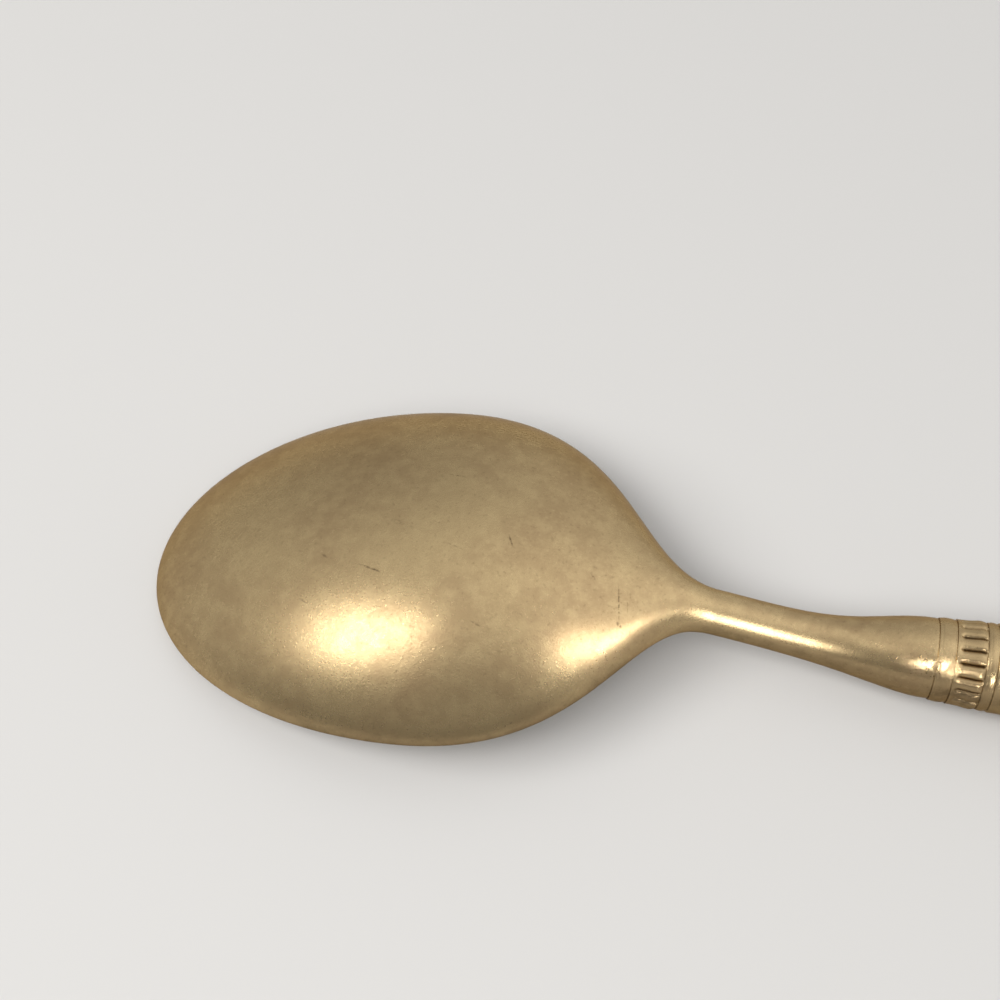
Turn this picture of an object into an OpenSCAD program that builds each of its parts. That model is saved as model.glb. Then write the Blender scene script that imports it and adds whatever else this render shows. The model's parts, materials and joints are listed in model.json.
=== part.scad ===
// Soup spoon with a fitted, turned handle, lying face down.
// All sizes are in millimetres. X runs from the bowl's tip to the handle's end, Z points up,
// and the surface that the spoon lies on is at Z = 0. The origin is below the middle of the spoon's length.

/* [Bowl] */
// Length of the bowl, from its tip to where the neck begins
bowl_length = 66.2; // [60:0.2:76]
// Greatest width of the bowl
bowl_width = 44.5; // [36:0.1:52]
// Distance of the bowl's widest place from its tip
widest_from_tip = 33.2; // [28:0.2:40]
// Height of the bowl's back above its rim
bowl_depth = 10; // [7:0.5:13]
// Distance of the bowl's deepest place from its tip
deepest_from_tip = 34; // [28:0.5:42]
// Thickness of the bowl's wall in its middle
bowl_wall = 1.6; // [1:0.1:2.4]
// Thickness of the rounded rim
rim_thickness = 1.3; // [0.8:0.1:2]
// Greatest height of the rim above the table
rim_arch = 9.6; // [7:0.1:12]
// Distance of the rim's highest place from the tip
arch_from_tip = 57; // [48:0.5:58]
// How far the bowl's full width carries on towards the neck, as a share of the way
shoulder_reach = 0.67; // [0.5:0.005:0.8]
// How far the neck's line carries back into the bowl, as a share of the way
throat_reach = 0.295; // [0.25:0.005:0.55]
// Length over which the hollow closes into the solid neck
throat_length = 12; // [9:0.5:16]

/* [Neck] */
// Length of the neck, from the bowl to the bolster's shoulder
neck_length = 24.7; // [19:0.1:30]
// Diameter of the neck at its thinnest
neck_diameter = 5.2; // [4:0.1:6.4]
// Length behind the bowl over which the neck comes down to the handle's axis
neck_fall = 18.4; // [12:0.2:18.8]
// Diameter of the bolster at the neck's end
bolster_diameter = 9.2; // [8:0.1:10.2]
// Length over which the bolster's shoulder rounds off
shoulder_length = 0.5; // [0.3:0.1:2]
// Depth that the shoulder loses in rounding off
shoulder_drop = 0.2; // [0.1:0.05:0.9]

/* [Tang] */
// Diameter of the tang inside the handle
tang_diameter = 4.4; // [3.6:0.1:5]
// Length of the tang behind the bolster
tang_length = 58; // [30:1:70]
// Gap between each piece and the tang or bore that it fits
fit_gap = 0.05; // [0.02:0.01:0.1]

/* [Front rings] */
// Diameter of the bead ring over its bead
bead_ring_diameter = 9.6; // [9:0.1:11]
// Length of the bead ring along the handle
bead_ring_length = 2; // [1:0.1:3]
// Diameter of the notched collar over the heads of its lobes
collar_diameter = 10.1; // [9:0.1:11]
// Length of the notched collar along the handle
collar_length = 3.4; // [2.6:0.1:6]
// Number of lobes round the collar
lobe_count = 18; // [10:1:24]
// Rise of the lobes from the collar's edges to their heads
lobe_rise = 0.2; // [0.1:0.05:0.5]
// Depth of the notches between the lobes, below the heads
notch_depth = 0.45; // [0.3:0.05:0.8]
// Width of a notch at the neck end, where it is widest
notch_width = 0.7; // [0.5:0.05:1.2]
// Diameter of the rear ring
rear_ring_diameter = 10.1; // [9:0.1:11]
// Length of the rear ring along the handle
rear_ring_length = 1.2; // [0.8:0.1:3]
// Rise of the rounded edge on each plain ring
bead_rise = 0.2; // [0.1:0.05:0.7]

/* [Barrel] */
// Diameter of the barrel at its front end
barrel_front_diameter = 10.2; // [9.4:0.1:11]
// Diameter of the barrel along the grip, where it is thickest
grip_diameter = 12; // [11:0.1:14]
// Diameter of the barrel at its far end
barrel_end_diameter = 9.6; // [9.2:0.1:11]
// Length over which the barrel swells from its front end to the grip
swell_length = 22; // [12:1:34]
// Length of the straight grip
grip_length = 36; // [20:1:60]
// Length over which the barrel narrows from the grip to its far end
narrow_length = 26; // [12:1:40]
// Diameter of the barrel's straight bore
barrel_bore = 8.2; // [7:0.1:8.6]

/* [Handle end] */
// Diameter of the end ring over its bead
end_ring_diameter = 10.4; // [9.6:0.1:11]
// Length of the end ring along the handle
end_ring_length = 2; // [1:0.1:4]
// Diameter of the domed end cap
cap_diameter = 9; // [8.6:0.1:10]
// Height of the end cap's dome
cap_height = 5.6; // [3:0.1:9]
// Length of the cap's spigot behind its seat
spigot_length = 9; // [6:0.5:14]
// Thickness of filler behind the tang's end
core_cover = 5; // [2:0.5:8]

/* [Hidden] */
$fn = 64;

// Places along the spoon, measured from the bowl's tip
shoulder_at = bowl_length + neck_length;
bolster_face = shoulder_at + shoulder_length;
collar_at = bolster_face + bead_ring_length;
rear_ring_at = collar_at + collar_length;
barrel_at = rear_ring_at + rear_ring_length;
barrel_length = swell_length + grip_length + narrow_length;
end_ring_at = barrel_at + barrel_length;
cap_at = end_ring_at + end_ring_length;
spoon_length = cap_at + cap_height;
middle = spoon_length / 2;

// The spoon lies on the grip, so the handle's axis is half the grip's diameter up
axis_height = grip_diameter / 2;
// Bore of everything that slides on the tang
tang_bore = tang_diameter + 2 * fit_gap;
// Length of the filler, from the barrel's front face to behind the tang's end
core_length = bolster_face + tang_length - barrel_at + core_cover;
// How far the tang reaches into the bolster, so that the two are one forging
tang_root = 4;
// How far a cut runs past the face that it opens
cut_past = 1;

// Shape of the forging: how sharply its curves turn
crown_front_curve = 0.75;
crown_rear_curve = 1.5;
bowl_section_curve = 1.5;
neck_section_curve = 1;
flare_curve = 2;

// Steps of the forging's surface: along it, and round one section
tip_steps = 20;
throat_steps = 20;
neck_steps = 14;
shoulder_steps = 5;
back_steps = 28;
rim_steps = 4;
hollow_steps = 20;

function limit(t) = min(1, max(0, t));
function ease(t) = t * t * (3 - 2 * t);
function wave(t) = (1 - cos(180 * limit(t))) / 2;
function mix(a, b, t) = a + (b - a) * t;
function bezier(a, b, c, d, t) =
    pow(1 - t, 3) * a + 3 * pow(1 - t, 2) * t * b + 3 * (1 - t) * pow(t, 2) * c + pow(t, 3) * d;

// Radius of the neck: thin behind the bowl, flaring to the bolster, then rounding off to its face
function shoulder_loss(x) =
    shoulder_drop * (1 - sqrt(1 - pow(limit((x - shoulder_at) / shoulder_length), 2)));
function neck_radius(x) =
    mix(neck_diameter, bolster_diameter, wave(pow(limit((x - bowl_length) / neck_length), flare_curve))) / 2
    - shoulder_loss(x);

// Outline of the forging seen from above, as places along it and half-widths there: half an ellipse
// round the tip, a curve that draws the bowl in to the neck, the neck, and the bolster's shoulder
throat_way = bowl_length - widest_from_tip;
outline = concat(
    [for (i = [1 : tip_steps])
        [widest_from_tip * (1 - cos(90 * i / tip_steps)), bowl_width / 2 * sin(90 * i / tip_steps)]],
    [for (i = [1 : throat_steps]) [
        bezier(widest_from_tip, widest_from_tip + shoulder_reach * throat_way,
            bowl_length - throat_reach * throat_way, bowl_length, i / throat_steps),
        bezier(bowl_width / 2, bowl_width / 2, neck_diameter / 2, neck_diameter / 2, i / throat_steps)]],
    [for (i = [1 : neck_steps])
        let (x = bowl_length + neck_length * i / neck_steps)
        [x, neck_radius(x)]],
    [for (i = [1 : shoulder_steps])
        let (x = shoulder_at + shoulder_length * sin(90 * i / shoulder_steps))
        [x, neck_radius(x)]]);

// Height of the rim, or of the neck's middle: up from the tip to the arch, then down to the handle's axis
function rim_height(x) = x < arch_from_tip
    ? mix(rim_thickness / 2, rim_arch, sin(90 * x / arch_from_tip))
    : mix(rim_arch, axis_height, wave((x - arch_from_tip) / (bowl_length + neck_fall - arch_from_tip)));

// Height of the back above the rim: a dome over the bowl that runs out into the neck
function crown(x) = x < deepest_from_tip
    ? bowl_depth * pow(1 - pow(1 - x / deepest_from_tip, 2), crown_front_curve)
    : x < bowl_length
    ? mix(neck_diameter / 2, bowl_depth,
        pow(1 - pow((x - deepest_from_tip) / (bowl_length - deepest_from_tip), 2), crown_rear_curve))
    : neck_radius(x);

// Share of solid neck in a section: none in the bowl, all from the neck's beginning on
function solid(x) = ease(limit((x - bowl_length + throat_length) / throat_length));
function section_curve(x) = mix(bowl_section_curve, neck_section_curve, solid(x));

// One point of the back, a from 0 at the +Y edge to 180 at the -Y edge
function back_point(x, w, a) = [x, w * cos(a), rim_height(x) + crown(x) * pow(sin(a), section_curve(x))];

// The hollow's edge is the outline drawn in by the rim's thickness
function inward(x) = x < widest_from_tip ? 1 - x / widest_from_tip : (widest_from_tip - x) / throat_way;
function hollow_x(x) = x + rim_thickness * inward(x);
function hollow_width(w) = w * (1 - 2 * rim_thickness / bowl_width);

// One point of the rounded rim, b from 0 outside to 180 inside
function rim_point(x, w, b) = [
    mix(x, hollow_x(x), (1 - cos(b)) / 2),
    mix(w, hollow_width(w), (1 - cos(b)) / 2),
    rim_height(x) - rim_thickness / 2 * sin(b)];

// One point of the hollow, a from 0 at the -Y edge to 180 at the +Y edge
function hollow_point(x, w, a) = [
    hollow_x(x),
    -hollow_width(w) * cos(a),
    rim_height(x) + crown(x) * (1 - bowl_wall / bowl_depth) * pow(sin(a), section_curve(x))];

// One point of the neck's underside, a from 0 at the -Y edge to 180 at the +Y edge
function under_point(x, w, a) = [x, -w * cos(a), rim_height(x) - neck_radius(x) * sin(a)];

function front_points(x, w) = concat(
    [for (j = [1 : rim_steps - 1]) rim_point(x, -w, 180 * j / rim_steps)],
    [for (i = [0 : hollow_steps]) hollow_point(x, w, 180 * i / hollow_steps)],
    [for (j = [rim_steps - 1 : -1 : 1]) rim_point(x, w, 180 * j / rim_steps)]);

// A whole section: the back, then the front, which turns from the hollow into the neck's underside
function section(x, w) =
    let (front = front_points(x, w), last = len(front) + 1)
    concat(
        [for (k = [0 : back_steps]) back_point(x, w, 180 * k / back_steps)],
        [for (m = [0 : len(front) - 1]) mix(front[m], under_point(x, w, 180 * (m + 1) / last), solid(x))]);

// At the tip the section shrinks to the rim's half circle, which both sides share
tip_points = [for (j = [0 : rim_steps]) rim_point(0, 0, 180 * j / rim_steps)];
tip_index = concat(
    [for (k = [0 : back_steps]) 0],
    [for (j = [1 : rim_steps - 1]) j],
    [for (i = [0 : hollow_steps]) rim_steps],
    [for (j = [rim_steps - 1 : -1 : 1]) j]);
loop = len(tip_index);

function section_index(i, k) = i == 0 ? tip_index[k % loop] : len(tip_points) + (i - 1) * loop + k % loop;

module forging() {
    points = concat(tip_points, [for (place = outline) each section(place[0], place[1])]);
    last = len(outline);
    sides = [for (i = [0 : last - 1], k = [0 : loop - 1])
        let (a = section_index(i, k), b = section_index(i, k + 1),
            c = section_index(i + 1, k + 1), d = section_index(i + 1, k))
        each a == b ? [[a, d, c]] : [[a, d, c], [a, c, b]]];
    face = [for (k = [loop - 1 : -1 : 0]) section_index(last, k)];
    polyhedron(points, concat(sides, [face]));
}

// Sets a turned piece, drawn along Z, on the handle's axis at a distance from the tip
module on_axis(at) {
    translate([at - middle, 0, axis_height])
        rotate([0, 90, 0])
            children();
}

arc_steps = 16;
// Profile of a ring with a rounded edge: radius first, then length
function bead_profile(bore, diameter, length) = concat(
    [[bore / 2, 0]],
    [for (i = [0 : arc_steps])
        let (a = 180 * i / arc_steps)
        [diameter / 2 - bead_rise * (1 - sin(a)), length / 2 * (1 - cos(a))]],
    [[bore / 2, length]]);

module bowl_and_neck() {
    color("darkkhaki") {
        translate([-middle, 0, 0])
            forging();
        on_axis(bolster_face - tang_root)
            cylinder(h = tang_root + tang_length, d = tang_diameter);
    }
}

module bead_ring() {
    color("goldenrod")
        on_axis(bolster_face)
            rotate_extrude()
                polygon(bead_profile(tang_bore, bead_ring_diameter, bead_ring_length));
}

// Profile of the collar: a plain lip at the neck end, then lobes that rise to their heads near the handle
lip_length = collar_length / 8;
lobe_length = collar_length - lip_length;
head_shift = 1.6;
collar_edge = collar_diameter / 2 - lobe_rise;
collar_profile = concat(
    [[tang_bore / 2, 0], [collar_edge, 0]],
    [for (i = [0 : arc_steps])
        let (t = i / arc_steps)
        [collar_edge + lobe_rise * sin(180 * pow(t, head_shift)), lip_length + lobe_length * t]],
    [[tang_bore / 2, collar_length]]);

// Each notch is a tapered, round-bottomed groove, wide at the neck end and narrow between the heads.
// The notches are turned by half a step, so that a lobe points straight up.
module notch() {
    narrowing = 0.6;
    translate([collar_diameter / 2 - notch_depth + notch_width / 2, 0, lip_length])
        cylinder(h = lobe_length - lip_length, d1 = notch_width, d2 = notch_width * narrowing);
}

module notched_collar() {
    color("peru")
        on_axis(collar_at)
            difference() {
                rotate_extrude()
                    polygon(collar_profile);
                for (i = [0 : lobe_count - 1])
                    rotate([0, 0, 360 * (i + 0.5) / lobe_count])
                        notch();
            }
}

module rear_ring() {
    color("goldenrod")
        on_axis(rear_ring_at)
            rotate_extrude()
                polygon(bead_profile(tang_bore, rear_ring_diameter, rear_ring_length));
}

swell_steps = 12;
// Outside of the barrel: swelling, straight grip, narrowing
barrel_profile = concat(
    [[barrel_bore / 2, 0]],
    [for (i = [0 : swell_steps])
        let (t = i / swell_steps)
        [mix(barrel_front_diameter, grip_diameter, wave(t)) / 2, swell_length * t]],
    [for (i = [0 : swell_steps])
        let (t = i / swell_steps)
        [mix(grip_diameter, barrel_end_diameter, wave(t)) / 2,
            swell_length + grip_length + narrow_length * t]],
    [[barrel_bore / 2, barrel_length]]);

module handle_barrel() {
    color("burlywood")
        on_axis(barrel_at)
            rotate_extrude()
                polygon(barrel_profile);
}

module handle_core() {
    color("dimgray")
        on_axis(barrel_at)
            difference() {
                cylinder(h = core_length, d = barrel_bore - 2 * fit_gap);
                translate([0, 0, -cut_past])
                    cylinder(h = core_length - core_cover + cut_past, d = tang_bore);
            }
}

module end_ring() {
    color("goldenrod")
        on_axis(end_ring_at)
            rotate_extrude()
                polygon(bead_profile(barrel_bore, end_ring_diameter, end_ring_length));
}

// Outside of the cap: spigot, seat, then a quarter of an oval for the dome
cap_profile = concat(
    [[0, -spigot_length], [barrel_bore / 2 - fit_gap, -spigot_length], [barrel_bore / 2 - fit_gap, 0]],
    [for (i = [0 : arc_steps])
        let (a = 90 * i / arc_steps)
        [cap_diameter / 2 * cos(a), cap_height * sin(a)]]);

module end_cap() {
    color("peru")
        on_axis(cap_at)
            rotate_extrude()
                polygon(cap_profile);
}

bowl_and_neck();
bead_ring();
notched_collar();
rear_ring();
handle_barrel();
handle_core();
end_ring();
end_cap();
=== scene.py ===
"""Soup spoon with a fitted, turned handle in aged brass, lying face down on a pale floor.

Laid out as an add-on: property groups hold the sizes and colours, operators make the pieces and the stage.
All lengths are in metres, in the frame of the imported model: X from the bowl's tip to the handle's end, Z up.
"""

import json
import math
from collections import namedtuple

import bmesh
import bpy
import numpy as np
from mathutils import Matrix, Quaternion, Vector


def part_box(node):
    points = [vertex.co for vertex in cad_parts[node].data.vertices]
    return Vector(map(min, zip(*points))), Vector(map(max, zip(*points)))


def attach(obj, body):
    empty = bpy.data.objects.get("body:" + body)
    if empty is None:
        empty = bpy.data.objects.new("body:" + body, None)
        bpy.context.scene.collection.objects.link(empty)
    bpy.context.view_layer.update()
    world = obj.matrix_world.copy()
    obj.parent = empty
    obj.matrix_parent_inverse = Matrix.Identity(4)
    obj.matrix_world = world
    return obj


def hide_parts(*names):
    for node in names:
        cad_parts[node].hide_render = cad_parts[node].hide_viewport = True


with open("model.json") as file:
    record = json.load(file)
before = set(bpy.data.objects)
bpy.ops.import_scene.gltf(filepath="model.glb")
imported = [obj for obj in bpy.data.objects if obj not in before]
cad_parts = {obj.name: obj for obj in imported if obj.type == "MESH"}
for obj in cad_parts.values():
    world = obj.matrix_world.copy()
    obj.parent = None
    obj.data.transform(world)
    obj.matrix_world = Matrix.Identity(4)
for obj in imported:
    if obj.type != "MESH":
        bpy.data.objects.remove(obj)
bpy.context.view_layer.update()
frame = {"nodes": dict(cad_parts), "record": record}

bl_info = {
    "name": "Soup Spoon",
    "version": (1, 0, 0),
    "blender": (4, 5, 0),
    "location": "View3D > Sidebar > Spoon",
    "description": "Makes a brass soup spoon with a turned handle, and the stage that it lies on",
    "category": "Add Mesh",
}

MM = 0.001
SLOT_OF_NODE = {part["node"]: part["material_slot"] for part in frame["record"]["subparts"]}

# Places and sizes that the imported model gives
TIP_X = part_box("bowl_and_neck")[0].x
TANG_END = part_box("bowl_and_neck")[1].x - TIP_X
BOWL_WIDTH = 2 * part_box("bowl_and_neck")[1].y
BOLSTER_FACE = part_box("bead_ring")[0].x - TIP_X
AXIS_HEIGHT = (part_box("end_cap")[0].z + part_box("end_cap")[1].z) / 2

# Rows and columns of the surfaces
TIP_ROWS = 72
THROAT_ROWS = 96
NECK_ROWS = 72
SHOULDER_ROWS = 14
BACK_STEPS = 112
RIM_STEPS = 14
HOLLOW_STEPS = 96
ROUND_STEPS = 160
ARC_STEPS = 32
LOBE_STEPS = 36
COLLAR_ROWS = 80
SWELL_ROWS = 48

# Powers that shape the bowl's back: ahead of its deepest place, behind it, and across
BACK_POWER_AHEAD = 0.75
BACK_POWER_BEHIND = 1.5
BACK_POWER_ACROSS = 1.5

# The collar: the plain lip's share of its length, how far the lobes' heads are shifted towards the handle,
# the shares of the lobes' length over which the notches start and stop, and their sharpness at the neck end
# and between the heads
LIP_SHARE = 1 / 16
HEAD_SHIFT = 2.6
NOTCH_START = 0.2
NOTCH_STOP = 0.12
NECK_END_SHARPNESS = 2.4
HEAD_SHARPNESS = 3.8

# Chamfers as shares of the radius, and the room that the cap's spigot has in the bore
TANG_CHAMFER = 1 / 5
SPIGOT_CHAMFER = 1 / 10
FIT_GAP = 0.05 * MM

# How much of the grime in a deep groove lies in the shallow joints between the pieces and on the collar's
# lobes, and, on the same scale, how dark the painted shade is on the undersides and along the bowl's rim
JOINT_GRIME = 0.12
LOBE_GRIME = 0.4
UNDERSIDE_PAINTED_SHADE = 0.75
RIM_PAINTED_SHADE = 0.9

# How far grime reaches: from a wide joint, from a narrow one and from the cap's seat; how far the painted
# shade reaches up from the rim, and over what length from the tip it fades in.
WIDE_JOINT = 0.3 * MM
NARROW_JOINT = 0.15 * MM
CAP_JOINT = 0.35 * MM
RIM_SHADE_REACH = 1.8 * MM
RIM_SHADE_TIP_FADE = 30 * MM

# The painted shade on the underside of a round form begins at the first share of its radius above the middle,
# and is at its darkest from the second share further down
UNDERSIDE_TOP = 0.8
UNDERSIDE_BLEND = 0.6

# Corners sharper than this stay sharp, and points closer than this are one
SHARP_CORNER = math.radians(38)
MERGE_DISTANCE = 0.0002 * MM


def length(name, description, default):
    """A length that a user may change, given in metres."""
    return bpy.props.FloatProperty(
        name=name, description=description, default=default, unit="LENGTH", precision=5)


def share(name, description, default):
    """A share of a length that a user may change."""
    return bpy.props.FloatProperty(name=name, description=description, default=default, subtype="FACTOR")


def linear(hex_colour):
    """Turns an sRGB hex value into linear red, green and blue, with a full alpha."""
    parts = [int(hex_colour[i:i + 2], 16) / 255 for i in (1, 3, 5)]
    return [c / 12.92 if c <= 0.04045 else ((c + 0.055) / 1.055) ** 2.4 for c in parts] + [1.0]


def colour(name, description, hex_colour):
    """A colour that a user may change, given as an sRGB hex value."""
    return bpy.props.FloatVectorProperty(
        name=name, description=description, default=linear(hex_colour), subtype="COLOR", size=4, min=0, max=1)


class ForgingSizes(bpy.types.PropertyGroup):
    """Sizes of the forged bowl, neck and tang."""
    bowl_length: length("Bowl length", "From the tip to where the neck begins", 66.2 * MM)
    bowl_width: length("Bowl width", "Greatest width of the bowl", BOWL_WIDTH)
    widest_from_tip: length("Widest place", "Distance of the widest place from the tip", 33.2 * MM)
    bowl_depth: length("Bowl depth", "Height of the back above the rim", 10 * MM)
    deepest_from_tip: length("Deepest place", "Distance of the deepest place from the tip", 34 * MM)
    bowl_wall: length("Wall", "Thickness of the wall in the bowl's middle", 1.6 * MM)
    rim_thickness: length("Rim", "Thickness of the rounded rim", 1.3 * MM)
    rim_arch: length("Rim arch", "Greatest height of the rim above the floor", 9.6 * MM)
    arch_from_tip: length("Arch place", "Distance of the rim's highest place from the tip", 57 * MM)
    shoulder_reach: share("Shoulder reach", "Share of the way that the full width carries on", 0.67)
    throat_reach: share("Throat reach", "Share of the way that the neck's line carries back", 0.295)
    throat_length: length("Throat", "Length over which the hollow closes into the neck", 12 * MM)
    neck_length: length("Neck length", "From the bowl to the bolster's shoulder", 24.7 * MM)
    neck_diameter: length("Neck diameter", "Diameter of the neck at its thinnest", 5.2 * MM)
    neck_fall: length("Neck fall", "Length over which the neck comes down to the handle's axis", 18.4 * MM)
    bolster_diameter: length("Bolster diameter", "Diameter of the bolster at the neck's end", 9.2 * MM)
    shoulder_drop: length("Shoulder drop", "Depth that the bolster loses in rounding off", 0.06 * MM)
    tang_diameter: length("Tang diameter", "Diameter of the tang inside the handle", 4.4 * MM)


class RingSizes(bpy.types.PropertyGroup):
    """Sizes of the turned rings and of the notched collar."""
    bead_rise: length("Bead rise", "Rise of the rounded edge on each plain ring", 0.11 * MM)
    line_depth: length("Line depth", "Depth of the fine lines left by the turning tool", 0.015 * MM)
    line_width: length("Line width", "Width of the fine turned lines", 0.16 * MM)
    tang_bore: length("Tang bore", "Bore of the pieces that slide on the tang", 4.5 * MM)
    lobe_count: bpy.props.IntProperty(
        name="Lobes", description="Number of lobes round the collar", default=18, subtype="UNSIGNED")
    lobe_rise: length("Lobe rise", "Rise of the lobes from the collar's edges to their heads", 0.2 * MM)
    notch_depth: length("Notch depth", "Depth of the notches between the lobes", 0.45 * MM)


class HandleSizes(bpy.types.PropertyGroup):
    """Sizes of the hollow barrel and of the end cap."""
    front_diameter: length("Front diameter", "Diameter of the barrel at its front end", 10.2 * MM)
    grip_diameter: length("Grip diameter", "Diameter of the barrel along the grip", 12 * MM)
    end_diameter: length("End diameter", "Diameter of the barrel at its far end", 9.6 * MM)
    swell_length: length("Swell", "Length over which the barrel swells to the grip", 22 * MM)
    narrow_length: length("Narrowing", "Length over which the barrel narrows from the grip", 26 * MM)
    bore: length("Bore", "Diameter of the barrel's straight bore", 8.2 * MM)
    cap_diameter: length("Cap diameter", "Diameter of the domed end cap", 9 * MM)
    cap_height: length("Cap height", "Height of the end cap's dome", 5.6 * MM)
    edge_round: length("Edge round", "Radius of the barrel's broken edges", 0.25 * MM)


class BrassColours(bpy.types.PropertyGroup):
    """Colours of the aged brass and of the filler."""
    clean: colour("Clean brass", "Where the brass is rubbed bright", "#c2ab80")
    toned: colour("Toned brass", "The even, greyish gold of most of the surface", "#b49d75")
    browned: colour("Browned brass", "Where the patina is thicker", "#a58d69")
    grime_and_shade_colour: colour("Grime", "Old polish and dirt in grooves, pits and scratches", "#4d3c2a")
    # The grime colour also paints the shade on the undersides and along the bowl's rim
    cement: colour("Cement", "The filler in the handle", "#8f8a82")


class StageSettings(bpy.types.PropertyGroup):
    """The view and the floor."""
    azimuth: bpy.props.FloatProperty(
        name="Azimuth", description="Direction of the view round the spoon", default=math.radians(10.318),
        subtype="ANGLE")
    elevation: bpy.props.FloatProperty(
        name="Elevation", description="Height of the view above the floor", default=math.radians(58),
        subtype="ANGLE")
    distance: length("Distance", "From the camera to the point that it looks at", 245.64 * MM)
    lens: bpy.props.FloatProperty(
        name="Lens", description="Focal length on a 36 mm wide sensor", default=72, subtype="DISTANCE_CAMERA")
    floor: colour("Floor", "The plain, pale floor", "#d9d7d4")


def mix(a, b, t):
    """From a at t = 0 to b at t = 1."""
    return a + (b - a) * t


def ease(t):
    """From 0 to 1, flat at both ends: three t squared less two t cubed."""
    t = np.clip(t, 0, 1)
    return t * t * (3 - 2 * t)


def wave(t):
    """From 0 to 1 along half a cosine wave, flat at both ends."""
    return (1 - np.cos(np.pi * np.clip(t, 0, 1))) / 2


def bezier(a, b, c, d, t):
    """The cubic Bezier curve from a to d with the handles b and c."""
    return (1 - t) ** 3 * a + 3 * (1 - t) ** 2 * t * b + 3 * (1 - t) * t ** 2 * c + t ** 3 * d


def add_piece(name, node, grid, grime_and_shade, closed_rows=False):
    """Turns a grid of points into a closed mesh that stands for a node.

    Columns always close on themselves. Rows close where closed_rows says so, and otherwise the first and last
    row are poles or edges whose points coincide. How much grime and painted shade each point takes is kept on
    the points, for the grime in the grooves and the painted shade on undersides and along the bowl's rim.
    """
    rows, columns = grid.shape[:2]
    i = np.arange(rows if closed_rows else rows - 1)[:, None]
    j = np.arange(columns)[None, :]
    ahead = (i + 1) % rows
    beside = (j + 1) % columns
    corners = [i * columns + j, i * columns + beside, ahead * columns + beside, ahead * columns + j]
    quads = np.stack(corners, axis=-1).reshape(-1, 4)
    mesh = bpy.data.meshes.new(name)
    mesh.from_pydata(grid.reshape(-1, 3).tolist(), [], quads.tolist())
    depth = mesh.attributes.new("grime_and_shade", "FLOAT", "POINT")
    depth.data.foreach_set("value", np.broadcast_to(grime_and_shade, (rows, columns)).astype(np.float32).ravel())
    merged = bmesh.new()
    merged.from_mesh(mesh)
    bmesh.ops.remove_doubles(merged, verts=merged.verts, dist=MERGE_DISTANCE)
    merged.to_mesh(mesh)
    merged.free()
    mesh.shade_smooth()
    mesh.set_sharp_from_angle(angle=SHARP_CORNER)
    slot = SLOT_OF_NODE[node]
    mesh.materials.append(material_of(slot))
    piece = bpy.data.objects.new(name, mesh)
    bpy.context.scene.collection.objects.link(piece)
    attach(piece, "root")
    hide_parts(node)


def forging_outline(s):
    """Places along the forging, from its tip, and half-widths there.

    Half an ellipse round the tip, a Bezier curve that draws the bowl in to the neck, the neck's flare on half
    a cosine wave, the bolster's shoulder on a parabola, its face, and the tang with a chamfered end.
    """
    turn = np.linspace(0, np.pi / 2, TIP_ROWS)
    t = np.linspace(0, 1, THROAT_ROWS)[1:]
    way = s.bowl_length - s.widest_from_tip
    throat_x = bezier(s.widest_from_tip, s.widest_from_tip + s.shoulder_reach * way,
                      s.bowl_length - s.throat_reach * way, s.bowl_length, t)
    throat_w = bezier(s.bowl_width, s.bowl_width, s.neck_diameter, s.neck_diameter, t) / 2
    flare = np.linspace(0, 1, NECK_ROWS)[1:]
    neck_w = mix(s.neck_diameter, s.bolster_diameter, wave(flare ** 2)) / 2
    shoulder_at = s.bowl_length + s.neck_length
    bend = np.linspace(0, 1, SHOULDER_ROWS)[1:]
    shoulder_x = mix(shoulder_at, BOLSTER_FACE, bend)
    shoulder_w = s.bolster_diameter / 2 - s.shoulder_drop * bend ** 2
    tang_r = s.tang_diameter / 2
    chamfer = tang_r * TANG_CHAMFER
    tang_x = [BOLSTER_FACE, TANG_END - chamfer, TANG_END, TANG_END]
    tang_w = [tang_r, tang_r, tang_r - chamfer, 0]
    tip_x = s.widest_from_tip * (1 - np.cos(turn))
    tip_w = s.bowl_width / 2 * np.sin(turn)
    neck_x = s.bowl_length + s.neck_length * flare
    x = np.concatenate([tip_x, throat_x, neck_x, shoulder_x, tang_x])
    w = np.concatenate([tip_w, throat_w, neck_w, shoulder_w, tang_w])
    return x, w


def rim_height(s, x):
    """Height of the rim, or of the neck's middle: up on a quarter of a wave, then down on half a wave."""
    rise = mix(s.rim_thickness / 2, s.rim_arch, np.sin(np.pi / 2 * np.clip(x / s.arch_from_tip, 0, 1)))
    fall = (x - s.arch_from_tip) / (s.bowl_length + s.neck_fall - s.arch_from_tip)
    return np.where(x < s.arch_from_tip, rise, mix(s.rim_arch, AXIS_HEIGHT, wave(fall)))


def crown_height(s, x):
    """Height of the back above the rim: one less the square of the way from the deepest place, to a power."""
    ahead = np.clip(1 - (1 - x / s.deepest_from_tip) ** 2, 0, 1)
    behind = np.clip(1 - ((x - s.deepest_from_tip) / (s.bowl_length - s.deepest_from_tip)) ** 2, 0, 1)
    return np.where(x < s.deepest_from_tip, s.bowl_depth * ahead ** BACK_POWER_AHEAD,
                    mix(s.neck_diameter / 2, s.bowl_depth, behind ** BACK_POWER_BEHIND))


def underside_painted_shade(up, radius):
    """How much painted shade lies on a round form at a height above its middle: none on top, most below."""
    lower = UNDERSIDE_TOP - up / np.maximum(radius, MERGE_DISTANCE)
    return UNDERSIDE_PAINTED_SHADE * ease(lower / UNDERSIDE_BLEND)


def fading(distance, reach):
    """From 1 at no distance to next to nothing at a few times the reach."""
    return np.exp(-distance / reach)


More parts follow.
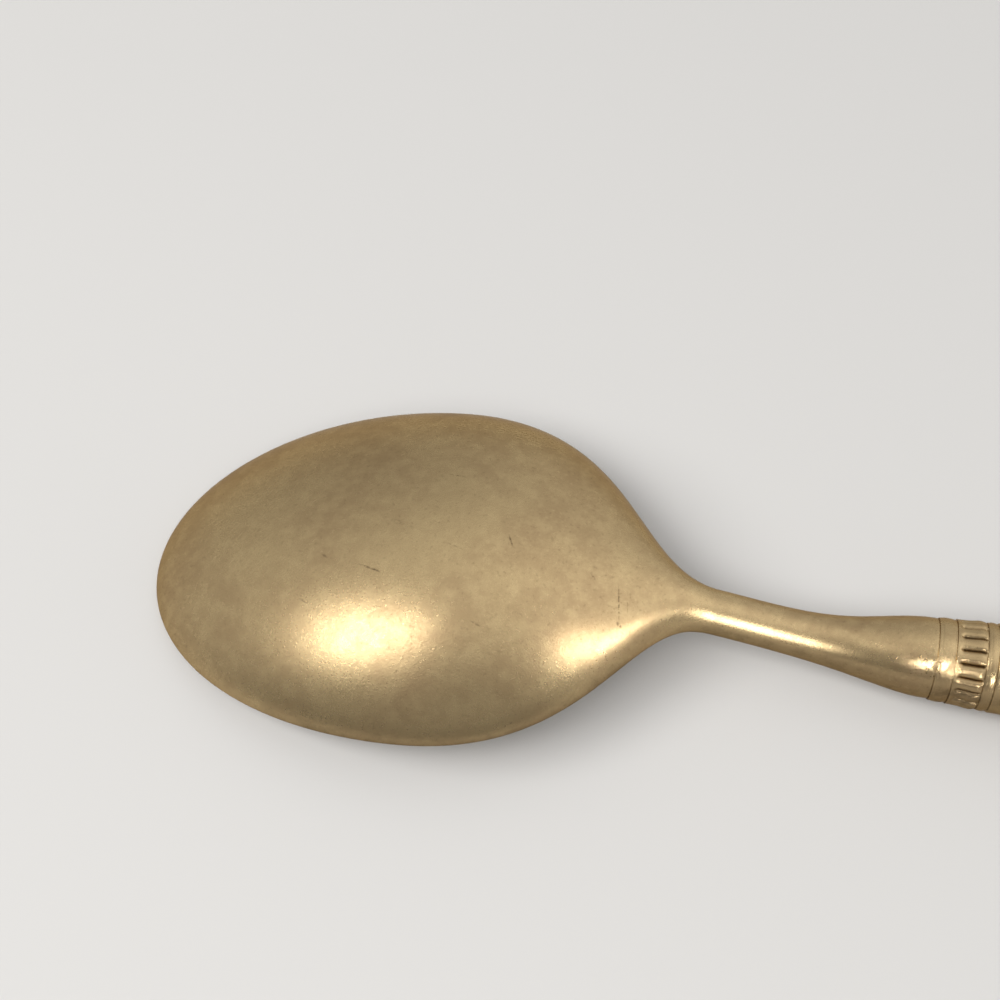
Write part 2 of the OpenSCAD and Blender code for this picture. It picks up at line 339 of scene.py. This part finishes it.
def forging_grid(s):
    """Sections of the forging from its tip to the tang's end, and how much grime and painted shade each point
    takes.

    A section's back rises over the rim as the sine of its angle to a power, the rim is half a circle, and the
    hollow follows the back inside the wall. Towards the neck, rim and hollow turn into the lower half of a
    circle.
    """
    x, w = (v[:, None] for v in forging_outline(s))
    neck = x >= s.bowl_length
    radius = np.where(neck, w, s.neck_diameter / 2)
    crown = np.where(neck, w, crown_height(s, x))
    rim = rim_height(s, x)
    solid = ease((x - s.bowl_length) / s.throat_length + 1)
    power = mix(BACK_POWER_ACROSS, 1, solid)

    def points(along, across, up):
        return np.stack(np.broadcast_arrays(along, across, up), axis=-1)

    turn = np.linspace(0, np.pi, BACK_STEPS + 1)
    back = points(x, w * np.cos(turn), rim + crown * np.clip(np.sin(turn), 0, 1) ** power)

    inward = np.where(x < s.widest_from_tip, 1 - x / s.widest_from_tip,
                      (s.widest_from_tip - x) / (s.bowl_length - s.widest_from_tip))
    hollow_x = x + s.rim_thickness * inward
    hollow_w = w * (1 - 2 * s.rim_thickness / s.bowl_width)
    edge = np.linspace(0, np.pi, RIM_STEPS + 1)[1:-1]
    across = (1 - np.cos(edge)) / 2
    rim_near = points(mix(x, hollow_x, across), -mix(w, hollow_w, across),
                      rim - s.rim_thickness / 2 * np.sin(edge))
    rim_far = rim_near[:, ::-1] * [1, -1, 1]
    turn = np.linspace(0, np.pi, HOLLOW_STEPS + 1)
    hollow_crown = crown * (1 - s.bowl_wall / s.bowl_depth)
    hollow = points(hollow_x, -hollow_w * np.cos(turn),
                    rim + hollow_crown * np.clip(np.sin(turn), 0, 1) ** power)
    front = np.concatenate([rim_near, hollow, rim_far], axis=1)
    turn = np.linspace(0, np.pi, front.shape[1] + 2)[1:-1]
    under = points(x, -w * np.cos(turn), rim - radius * np.sin(turn))
    front = mix(front, under, solid[:, :, None])

    grid = np.concatenate([back, front], axis=1)
    height = grid[:, :, 2] - rim
    # Painted shade along the bowl's rim, fading up from the rim and in from the tip, and painted shade on the
    # undersides of the solid neck, bolster and tang
    rim_shade = RIM_PAINTED_SHADE * ease(x / RIM_SHADE_TIP_FADE) * fading(np.maximum(height, 0), RIM_SHADE_REACH)
    grime_and_shade = np.maximum((1 - solid) * rim_shade, solid * underside_painted_shade(height, radius))
    grime_and_shade = np.maximum(grime_and_shade, JOINT_GRIME * fading(np.abs(x - BOLSTER_FACE), WIDE_JOINT))
    grid[:, :, 0] += TIP_X
    return grid, grime_and_shade


def turned_grid(x, r, grime_and_shade, columns=ROUND_STEPS):
    """A profile turned round the handle's axis: x along it, r away from it, the angle in equal steps.

    Also gives how much grime and painted shade each point takes: the grime as the profile says, or more
    painted shade on the underside.
    """
    angle = np.linspace(0, 2 * np.pi, columns, endpoint=False)[None, :]
    x, r, grime_and_shade = (v.reshape(len(v), -1) for v in (x, r, grime_and_shade))
    x, r, grime_and_shade, angle = np.broadcast_arrays(x, r, grime_and_shade, angle)
    up = r * np.cos(angle)
    return np.stack([x, -r * np.sin(angle), AXIS_HEIGHT + up], axis=-1), np.maximum(grime_and_shade, underside_painted_shade(up, r))


def ring_profile(low, high, radius, bore, s):
    """A ring's profile: bore, flat faces, and a shallow parabola with a fine line near each end."""
    t = np.linspace(0, 1, 2 * ARC_STEPS + 1)
    x = mix(low, high, t)
    r = radius - s.bead_rise * (2 * t - 1) ** 2
    to_end = np.minimum(x - low, high - x)
    r = r - s.line_depth * np.exp(-((to_end - 2 * s.line_width) / s.line_width * 2) ** 2)
    grime_and_shade = JOINT_GRIME * fading(to_end, NARROW_JOINT)
    return close_profile(low, high, bore, x, r, grime_and_shade)


def close_profile(low, high, bore, x, r, grime_and_shade):
    """Adds the corners at the bore to a profile that runs from one face to the other."""
    return (np.concatenate([[low], x, [high]]), np.concatenate([[bore / 2], r, [bore / 2]]),
            np.concatenate([grime_and_shade[:1], grime_and_shade, grime_and_shade[-1:]]))


def collar_grid(low, high, radius, s):
    """The collar: a turned band whose radius falls off between lobes, with a lobe at the top.

    Along the band the lobes rise from a plain lip at the neck end to heads near the handle, as a sine of the
    way to a power. Round the band each lobe is rounded, and two lobes meet in a notch: a power of the way
    from the lobe's middle. The power grows towards the heads, so the notch is wide at the neck end and narrow
    between the heads.
    """
    columns = s.lobe_count * LOBE_STEPS
    t = np.linspace(0, 1, COLLAR_ROWS)[:, None]
    phase = (np.arange(columns)[None, :] / LOBE_STEPS + 0.5) % 1
    off_centre = np.abs(2 * phase - 1)
    way = np.clip((t - LIP_SHARE) / (1 - LIP_SHARE), 0, 1)
    crest = radius - s.lobe_rise * (1 - np.sin(np.pi * way ** HEAD_SHIFT))
    started = ease(way / NOTCH_START)
    stopped = ease((1 - way) / NOTCH_STOP)
    cut = off_centre ** mix(NECK_END_SHARPNESS, HEAD_SHARPNESS, way) * started * stopped
    drop = s.notch_depth * cut
    at_ends = JOINT_GRIME * fading(np.minimum(t, 1 - t) * (high - low), NARROW_JOINT)
    grime_and_shade = np.maximum(mix(LOBE_GRIME, 1, cut ** 2) * started, at_ends)
    x = mix(low, high, t)
    bore = np.full((1, columns), s.tang_bore / 2)
    x = np.concatenate([[[low]], x, [[high]]])
    r = np.concatenate([bore, crest - drop, bore])
    grime_and_shade = np.concatenate([grime_and_shade[:1], grime_and_shade, grime_and_shade[-1:]])
    return turned_grid(x, r, grime_and_shade, columns)


def barrel_profile(low, high, s):
    """The barrel's profile: swelling and narrowing on half a wave, a straight grip, rounded edges, a bore."""
    t = np.linspace(0, 1, SWELL_ROWS)
    bend = np.linspace(0, np.pi / 2, ARC_STEPS // 4)
    edge_x = s.edge_round * (1 - np.cos(bend))
    edge_loss = s.edge_round * (1 - np.sin(bend))
    x = np.concatenate([low + edge_x, low + s.swell_length * t[1:],
                        high - s.narrow_length * (1 - t[:-1]), high - edge_x[::-1]])
    front = mix(s.front_diameter, s.grip_diameter, wave((x - low) / s.swell_length)) / 2
    rear = mix(s.end_diameter, s.grip_diameter, wave((high - x) / s.narrow_length)) / 2
    r = np.minimum(front, rear)
    r[:len(bend)] -= edge_loss
    r[-len(bend):] -= edge_loss[::-1]
    grime_and_shade = JOINT_GRIME * fading(np.minimum(x - low, high - x), WIDE_JOINT)
    return close_profile(low, high, s.bore, x, r, grime_and_shade)


def cap_profile(low, seat, s):
    """The cap's profile: a spigot with a chamfered end, a flat seat, and a quarter of an oval for a dome."""
    spigot = s.bore / 2 - FIT_GAP
    chamfer = spigot * SPIGOT_CHAMFER
    turn = np.linspace(0, np.pi / 2, 2 * ARC_STEPS)
    x = np.concatenate([[low, low, low + chamfer, seat], seat + s.cap_height * np.sin(turn)])
    r = np.concatenate([[0, spigot - chamfer, spigot, spigot], s.cap_diameter / 2 * np.cos(turn)])
    grime_and_shade = fading(np.abs(x - seat), CAP_JOINT)
    return x, np.clip(r, 0, None), grime_and_shade


def add_node(tree, kind, inputs=(), **settings):
    """Adds a node: settings go to its own fields, inputs are values or other nodes' outputs by socket."""
    node = tree.nodes.new(kind)
    for field, value in settings.items():
        setattr(node, field, value)
    for socket, value in dict(inputs).items():
        if isinstance(value, bpy.types.NodeSocket):
            tree.links.new(value, node.inputs[socket])
        else:
            node.inputs[socket].default_value = value
    return node


# Sockets of a Mix node, whose names repeat for plain values and for colours
MIX_FACTOR = 0
VALUE_A = 2
VALUE_B = 3
VALUE_RESULT = 0
COLOUR_A = 6
COLOUR_B = 7
COLOUR_RESULT = 2


def mixed_colour(tree, factor, under, over):
    """The colour over laid on the colour under, as far as factor says."""
    node = add_node(
        tree, "ShaderNodeMix", {MIX_FACTOR: factor, COLOUR_A: under, COLOUR_B: over}, data_type="RGBA")
    return node.outputs[COLOUR_RESULT]


def new_material(name):
    """An empty node material with its surface shader, and the place on the piece that its patterns read."""
    material = bpy.data.materials.new(name)
    material.use_nodes = True
    tree = material.node_tree
    tree.nodes.clear()
    shader = add_node(tree, "ShaderNodeBsdfPrincipled")
    add_node(tree, "ShaderNodeOutputMaterial", {"Surface": shader.outputs["BSDF"]})
    place = add_node(tree, "ShaderNodeTexCoord").outputs["Object"]
    return material, tree, shader, place


def noise(tree, place, size, detail, roughness):
    """Noise whose blotches are about the given size, in metres."""
    node = add_node(tree, "ShaderNodeTexNoise",
                    {"Vector": place, "Scale": 1 / size, "Detail": detail, "Roughness": roughness})
    return node.outputs["Fac"]


def ramp(tree, value, low, high, to_low=0.0, to_high=1.0):
    """A value stretched smoothly from the range low to high on to another range."""
    node = add_node(tree, "ShaderNodeMapRange",
                    {"Value": value, "From Min": low, "From Max": high, "To Min": to_low, "To Max": to_high},
                    interpolation_type="SMOOTHSTEP")
    return node.outputs["Result"]


def calculated(tree, operation, first, second):
    """Two values put together by a plain operation."""
    return add_node(tree, "ShaderNodeMath", {0: first, 1: second}, operation=operation).outputs[0]


# A mark on the bowl's back: where it is, from the tip, along, across and up, its length and width, all in
# millimetres, its turn in degrees, and how dark it is
Mark = namedtuple("Mark", "along across up length width turn strength")
MARKS = (
    Mark(27.8, -5.5, 16.1, 4.0, 0.30, -18, 0.75),
    Mark(22.1, -4.0, 14.6, 1.4, 0.35, -30, 0.4),
    Mark(20.7, -9.2, 13.0, 1.6, 0.30, -28, 0.5),
    Mark(29.7, 0.4, 17.0, 1.6, 0.90, -26, 0.25),
    Mark(35.1, 7.6, 17.1, 3.0, 0.30, -7, 0.4),
    Mark(36.6, -2.1, 18.0, 3.6, 0.25, -18, 0.25),
    Mark(42.7, -0.4, 18.1, 2.1, 0.30, -64, 0.65),
    Mark(40.7, -10.5, 16.4, 2.0, 0.30, -18, 0.5),
    Mark(55.5, -4.0, 14.4, 6.0, 0.28, -80, 0.6),
    Mark(55.9, -6.3, 13.5, 1.0, 0.60, -31, 0.7),
    Mark(56.5, -4.1, 14.2, 2.0, 0.18, -80, 0.4),
    Mark(52.3, -2.2, 16.1, 1.0, 0.35, -47, 0.5),
)
# How far a mark reaches above and below its place, in millimetres, and the size of the breaks in it
MARK_HEIGHT = 2.4
MARK_BREAK_SIZE = 0.5 * MM


def mark_pattern(tree, place):
    """The scratches and dents on the bowl's back: each a thin oval round its place, broken up by noise."""
    found = None
    for mark in MARKS:
        centre = Vector((TIP_X + mark.along * MM, mark.across * MM, mark.up * MM))
        local = add_node(tree, "ShaderNodeMapping",
                         {"Vector": place, "Location": centre, "Rotation": (0, 0, math.radians(mark.turn)),
                          "Scale": (mark.length / 2 * MM, mark.width / 2 * MM, MARK_HEIGHT * MM)},
                         vector_type="TEXTURE").outputs["Vector"]
        away = add_node(tree, "ShaderNodeVectorMath", {0: local}, operation="LENGTH").outputs["Value"]
        one = ramp(tree, away, 1.0, 0.3, 0.0, mark.strength)
        found = one if found is None else calculated(tree, "MAXIMUM", found, one)
    broken = ramp(tree, noise(tree, place, MARK_BREAK_SIZE, 2, 0.6), 0.35, 0.6)
    return calculated(tree, "MULTIPLY", found, broken)


# What the brass keeps of the light at a grazing angle, where a tarnished film dulls it
EDGE_TINT = "#d2c3b2"

# Sizes of the brass's clouds, mottling and specks, and the depth of its grain
CLOUD_SIZE = 11 * MM
MOTTLING_SIZE = 1.8 * MM
SPECK_SIZE = 0.42 * MM
GRAIN_DEPTH = 0.022 * MM

# Size and depth of the grit in the cement, and the roughness of cement and floor
GRIT_SIZE = 0.6 * MM
GRIT_DEPTH = 0.1 * MM
MATTE = 0.9


def aged_brass(name, grain_size, line_spacing, grime_and_shade_strength, marked=False):
    """Aged brass with a satin finish: greyish gold, with faint brown clouds, specks, dark grooves, and painted
    shade on the undersides and along the bowl's rim.

    The clouds are about as wide as a fingertip, the mottling a millimetre or two, and the light and dark
    specks less than half a millimetre. The grain of the rubbed surface breaks up the highlights into glints.
    Turned pieces have fine lines round the axis, so their pattern changes along X only.
    """
    colours = bpy.context.scene.spoon_colours
    material, tree, shader, place = new_material(name)

    clouds = ramp(tree, noise(tree, place, CLOUD_SIZE, 5, 0.6), 0.34, 0.68)
    mottling = ramp(tree, noise(tree, place, MOTTLING_SIZE, 5, 0.65), 0.38, 0.72)
    speckle = noise(tree, place, SPECK_SIZE, 2, 0.6)
    tint = mixed_colour(tree, clouds, colours.browned, colours.toned)
    tint = mixed_colour(tree, calculated(tree, "MULTIPLY", mottling, 0.5), tint, colours.clean)
    tint = mixed_colour(tree, ramp(tree, speckle, 0.42, 0.28, 0, 0.35), tint, colours.clean)
    tint = mixed_colour(tree, ramp(tree, speckle, 0.58, 0.74, 0, 0.22), tint, colours.grime_and_shade_colour)

    # Grime in the grooves, joints and notches, and painted shade on the undersides and along the bowl's rim,
    # both laid on in the grime colour
    grime_and_shade_share = add_node(tree, "ShaderNodeAttribute", attribute_name="grime_and_shade").outputs["Fac"]
    patchy = calculated(tree, "ADD", grime_and_shade_share, ramp(tree, mottling, 0, 1, -0.12, 0.12))
    grime_and_shade_mix = calculated(tree, "MULTIPLY", ramp(tree, patchy, 0.2, 1.0), grime_and_shade_strength)
    tint = mixed_colour(tree, grime_and_shade_mix, tint, colours.grime_and_shade_colour)

    dull = ramp(tree, clouds, 0, 1, 0.305, 0.275)
    dull = calculated(tree, "ADD", dull, ramp(tree, speckle, 0.3, 0.7, -0.03, 0.03))
    dull = calculated(tree, "ADD", dull, calculated(tree, "MULTIPLY", grime_and_shade_mix, 0.2))

    height = noise(tree, place, grain_size, 3, 0.6)
    if line_spacing:
        across = add_node(tree, "ShaderNodeMapping", {"Vector": place, "Scale": (1, 0, 0)}).outputs["Vector"]
        height = calculated(tree, "ADD", height, noise(tree, across, line_spacing, 2, 0.7))
    if marked:
        marks = mark_pattern(tree, place)
        tint = mixed_colour(tree, marks, tint, colours.grime_and_shade_colour)
        height = calculated(tree, "SUBTRACT", height, calculated(tree, "MULTIPLY", marks, 0.2))
    bump = add_node(tree, "ShaderNodeBump", {"Height": height, "Strength": 0.8, "Distance": GRAIN_DEPTH})

    tree.links.new(tint, shader.inputs["Base Color"])
    tree.links.new(dull, shader.inputs["Roughness"])
    tree.links.new(bump.outputs["Normal"], shader.inputs["Normal"])
    shader.inputs["Metallic"].default_value = 1.0
    shader.inputs["Specular Tint"].default_value = linear(EDGE_TINT)
    return material


def forged_brass(name):
    """The rubbed bowl and neck: fine grain, no turned lines, and scratches and dents on the back."""
    return aged_brass(name, grain_size=0.24 * MM, line_spacing=0, grime_and_shade_strength=0.6, marked=True)


def turned_brass(name):
    """The plain rings: tool marks round the axis, drawn coarse enough to show, and grime at the joints."""
    return aged_brass(name, grain_size=0.3 * MM, line_spacing=0.3 * MM, grime_and_shade_strength=0.75)


def notched_brass(name):
    """The collar: no turned lines, thick grime in the notches and a little on the lobes."""
    return aged_brass(name, grain_size=0.3 * MM, line_spacing=0, grime_and_shade_strength=0.75)


def barrel_brass(name):
    """The barrel and cap: turned and then rubbed, so the tool marks are wider than on the rings."""
    return aged_brass(name, grain_size=0.32 * MM, line_spacing=0.5 * MM, grime_and_shade_strength=0.6)


def filler_cement(name):
    """Poured cement: grey, dull and full of fine grit."""
    colours = bpy.context.scene.spoon_colours
    material, tree, shader, place = new_material(name)
    grit = noise(tree, place, GRIT_SIZE, 6, 0.7)
    tint = mixed_colour(tree, ramp(tree, grit, 0.35, 0.65), colours.grime_and_shade_colour, colours.cement)
    bump = add_node(tree, "ShaderNodeBump", {"Height": grit, "Strength": 0.5, "Distance": GRIT_DEPTH})
    tree.links.new(tint, shader.inputs["Base Color"])
    tree.links.new(bump.outputs["Normal"], shader.inputs["Normal"])
    shader.inputs["Roughness"].default_value = MATTE
    return material


MATERIAL_MAKERS = {
    "forged_brass": forged_brass,
    "turned_brass": turned_brass,
    "notched_brass": notched_brass,
    "barrel_brass": barrel_brass,
    "filler_cement": filler_cement,
}


def material_of(slot):
    """The material for one of the record's slots, made the first time that a piece asks for it."""
    name = slot + "_finish"
    return bpy.data.materials.get(name) or MATERIAL_MAKERS[slot](name)


class SPOON_OT_forging(bpy.types.Operator):
    """Make the forged bowl, neck and tang"""
    bl_idname = "spoon.forging"
    bl_label = "Bowl and neck"

    def execute(self, context):
        add_piece("forged_bowl_and_neck", "bowl_and_neck", *forging_grid(context.scene.spoon_forging))
        return {"FINISHED"}


class SPOON_OT_rings(bpy.types.Operator):
    """Make the plain turned rings"""
    bl_idname = "spoon.rings"
    bl_label = "Plain rings"

    def execute(self, context):
        rings = context.scene.spoon_rings
        bores = {"bead_ring": rings.tang_bore, "rear_ring": rings.tang_bore,
                 "end_ring": context.scene.spoon_handle.bore}
        for node, bore in bores.items():
            low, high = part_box(node)
            profile = ring_profile(low.x, high.x, high.y, bore, rings)
            add_piece("turned_" + node, node, *turned_grid(*profile), closed_rows=True)
        return {"FINISHED"}


class SPOON_OT_collar(bpy.types.Operator):
    """Make the collar with its row of lobes"""
    bl_idname = "spoon.collar"
    bl_label = "Notched collar"

    def execute(self, context):
        low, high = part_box("notched_collar")
        surface = collar_grid(low.x, high.x, (high.z - low.z) / 2, context.scene.spoon_rings)
        add_piece("lobed_collar", "notched_collar", *surface, closed_rows=True)
        return {"FINISHED"}


class SPOON_OT_barrel(bpy.types.Operator):
    """Make the hollow barrel"""
    bl_idname = "spoon.barrel"
    bl_label = "Barrel"

    def execute(self, context):
        low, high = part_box("handle_barrel")
        profile = barrel_profile(low.x, high.x, context.scene.spoon_handle)
        add_piece("turned_barrel", "handle_barrel", *turned_grid(*profile), closed_rows=True)
        return {"FINISHED"}


class SPOON_OT_cap(bpy.types.Operator):
    """Make the domed end cap with its spigot"""
    bl_idname = "spoon.cap"
    bl_label = "End cap"

    def execute(self, context):
        handle = context.scene.spoon_handle
        low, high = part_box("end_cap")
        profile = cap_profile(low.x, high.x - handle.cap_height, handle)
        add_piece("domed_cap", "end_cap", *turned_grid(*profile))
        return {"FINISHED"}


class SPOON_OT_filler(bpy.types.Operator):
    """Finish the filler that holds the tang"""
    bl_idname = "spoon.filler"
    bl_label = "Filler"

    def execute(self, context):
        core = frame["nodes"]["handle_core"]
        core.data.materials.clear()
        core.data.materials.append(material_of(SLOT_OF_NODE["handle_core"]))
        return {"FINISHED"}


# A lamp: the point that it lights, from the tip, along, across and up, in millimetres, its direction from
# there in degrees, its distance, width and height in metres, its power in watts, the spread of its beam in
# degrees, whether it lights the floor, or else shows in the metal, as a studio's reflector card does, and its
# roll in degrees
Lamp = namedtuple(
    "Lamp", "name along across up azimuth elevation distance width height power spread on_floor roll",
    defaults=(0,))
LAMPS = (
    Lamp("key", 40, 0, 0, -152, 49, 1.0, 0.6, 0.6, 5.1, 180, True),
    Lamp("fill", 40, 0, 0, -90, 60, 1.0, 0.8, 0.6, 4.5, 180, True),
    Lamp("bowl_card", 28.6, -12.7, 13.9, -155, 49, 0.5, 0.21, 0.2, 0.58, 180, False),
    Lamp("bowl_card_top", 28.6, -12.7, 13.9, -147, 62, 0.5, 0.055, 0.06, 0.17, 180, False),
    Lamp("throat_card", 52.0, -10.0, 13.8, -25, 38.6, 0.045, 0.006, 0.034, 0.00044, 48, False),
    Lamp("throat_lobe_card", 55.7, -7.7, 12.9, -21, 20, 0.032, 0.005, 0.006, 0.00005, 30, False),
    Lamp("neck_card", 69.8, -1.8, 9.9, -67, 28, 0.0286, 0.017, 0.03, 0.00085, 46, False, -30),
    Lamp("bolster_card", 91.3, -2.9, 9.5, -90, 40, 0.05, 0.007, 0.007, 0.000035, 8, False),
    Lamp("bead_card", 92.5, -2.6, 10.0, -77.5, 51, 0.05, 0.003, 0.006, 0.00001, 4, False),
    Lamp("collar_card", 97.3, -3.4, 9.6, -67, 24, 0.036, 0.008, 0.011, 0.00007, 10, False),
)
LAMP_COLOUR = "#ffffff"

# The point that the camera looks at, the nearest distance that it shows, and the floor's radius
AIM = Vector((-56.26 * MM, 15.75 * MM, 0))
CLIP_START = 0.01
FLOOR_RADIUS = 2.0


def pointing(azimuth, elevation):
    """The unit vector with that direction round Z, from +X, and that height above the floor, in radians."""
    flat = math.cos(elevation)
    return Vector((math.cos(azimuth) * flat, math.sin(azimuth) * flat, math.sin(elevation)))


class SPOON_OT_stage(bpy.types.Operator):
    """Make the floor, the lamps, the surrounding light and the camera"""
    bl_idname = "spoon.stage"
    bl_label = "Stage"

    def execute(self, context):
        scene = context.scene
        stage = scene.spoon_stage
        self.add_floor(scene, stage)
        for lamp in LAMPS:
            self.add_lamp(scene, lamp)
        self.add_surroundings(scene)
        self.add_camera(scene, stage)
        scene.view_settings.view_transform = "Standard"
        return {"FINISHED"}

    @staticmethod
    def add_floor(scene, stage):
        """A plain disc that the spoon lies on."""
        angle = np.linspace(0, 2 * np.pi, ROUND_STEPS, endpoint=False)
        edge = np.stack([np.cos(angle), np.sin(angle), np.zeros_like(angle)], axis=-1) * FLOOR_RADIUS
        mesh = bpy.data.meshes.new("floor")
        mesh.from_pydata(edge.tolist(), [], [list(range(ROUND_STEPS))])
        material = bpy.data.materials.new("floor_paper")
        material.use_nodes = True
        shader = material.node_tree.nodes["Principled BSDF"]
        shader.inputs["Base Color"].default_value = stage.floor
        shader.inputs["Roughness"].default_value = MATTE
        mesh.materials.append(material)
        floor = bpy.data.objects.new("floor", mesh)
        scene.collection.objects.link(floor)

    @staticmethod
    def add_lamp(scene, lamp):
        """A flat, soft lamp that looks at the point that it lights."""
        light = bpy.data.lights.new(lamp.name, "AREA")
        light.shape = "ELLIPSE"
        light.size = lamp.width
        light.size_y = lamp.height
        light.energy = lamp.power
        light.spread = math.radians(lamp.spread)
        light.color = linear(LAMP_COLOUR)[:3]
        lit = bpy.data.objects.new(lamp.name, light)
        lit.visible_camera = False
        lit.visible_diffuse = lamp.on_floor
        lit.visible_glossy = not lamp.on_floor
        towards = pointing(math.radians(lamp.azimuth), math.radians(lamp.elevation))
        aimed_at = Vector((TIP_X + lamp.along * MM, lamp.across * MM, lamp.up * MM))
        lit.location = aimed_at + towards * lamp.distance
        turned = Quaternion((0, 0, 1), math.radians(lamp.roll))
        lit.rotation_euler = (towards.to_track_quat("Z", "Y") @ turned).to_euler()
        scene.collection.objects.link(lit)

    @staticmethod
    def add_surroundings(scene):
        """Soft light from all round: brighter past the handle's end, darker behind and low in front."""
        world = bpy.data.worlds.new("studio")
        scene.world = world
        world.use_nodes = True
        tree = world.node_tree
        tree.nodes.clear()
        direction = add_node(tree, "ShaderNodeTexCoord").outputs["Generated"]
        parts = add_node(tree, "ShaderNodeSeparateXYZ", {"Vector": direction}).outputs
        to_handle = ramp(tree, parts["X"], -1.0, 0.9, 0.74, 1.5)
        behind = ramp(tree, parts["Y"], 0.2, 0.9, 1.0, 0.62)
        strength = calculated(tree, "MULTIPLY", to_handle, behind)
        # In front of the spoon a dim light that falls off towards the floor takes its place
        in_front = ramp(tree, parts["Y"], 0.0, -0.75)
        low_front = ramp(tree, parts["Z"], 0.0, 0.45, 0.22, 0.46)
        mixed = add_node(
            tree, "ShaderNodeMix", {MIX_FACTOR: in_front, VALUE_A: strength, VALUE_B: low_front})
        # The floor takes less of this light than the metal does, so that the lamps draw the spoon's shadow
        on_floor = add_node(tree, "ShaderNodeLightPath").outputs["Is Diffuse Ray"]
        taken = ramp(tree, on_floor, 0, 1, 1.0, 0.4)
        strength = calculated(tree, "MULTIPLY", mixed.outputs[VALUE_RESULT], taken)
        background = add_node(
            tree, "ShaderNodeBackground", {"Color": linear(LAMP_COLOUR), "Strength": strength})
        add_node(tree, "ShaderNodeOutputWorld", {"Surface": background.outputs["Background"]})

    @staticmethod
    def add_camera(scene, stage):
        """The camera, on a line from the point that it looks at."""
        lens = bpy.data.cameras.new("camera")
        lens.lens = stage.lens
        lens.clip_start = CLIP_START
        camera = bpy.data.objects.new("camera", lens)
        towards = pointing(stage.azimuth - math.pi / 2, stage.elevation)
        camera.location = AIM + towards * stage.distance
        camera.rotation_euler = towards.to_track_quat("Z", "Y").to_euler()
        scene.collection.objects.link(camera)
        scene.camera = camera


class SPOON_PT_panel(bpy.types.Panel):
    """Lists the spoon's pieces and the stage"""
    bl_idname = "SPOON_PT_panel"
    bl_label = "Soup spoon"
    bl_space_type = "VIEW_3D"
    bl_region_type = "UI"
    bl_category = "Spoon"

    def draw(self, context):
        for operator in OPERATORS:
            self.layout.operator(operator.bl_idname)


OPERATORS = (SPOON_OT_forging, SPOON_OT_rings, SPOON_OT_collar, SPOON_OT_barrel, SPOON_OT_cap,
             SPOON_OT_filler, SPOON_OT_stage)
SETTINGS = {
    "spoon_forging": ForgingSizes,
    "spoon_rings": RingSizes,
    "spoon_handle": HandleSizes,
    "spoon_colours": BrassColours,
    "spoon_stage": StageSettings,
}


def register():
    for kind in (*SETTINGS.values(), *OPERATORS, SPOON_PT_panel):
        bpy.utils.register_class(kind)
    for name, kind in SETTINGS.items():
        setattr(bpy.types.Scene, name, bpy.props.PointerProperty(type=kind))


def unregister():
    for name in SETTINGS:
        delattr(bpy.types.Scene, name)
    for kind in (SPOON_PT_panel, *reversed(OPERATORS), *reversed(tuple(SETTINGS.values()))):
        bpy.utils.unregister_class(kind)


def main():
    register()
    bpy.ops.spoon.forging()
    bpy.ops.spoon.rings()
    bpy.ops.spoon.collar()
    bpy.ops.spoon.barrel()
    bpy.ops.spoon.cap()
    bpy.ops.spoon.filler()
    bpy.ops.spoon.stage()


if __name__ == "__main__":
    main()
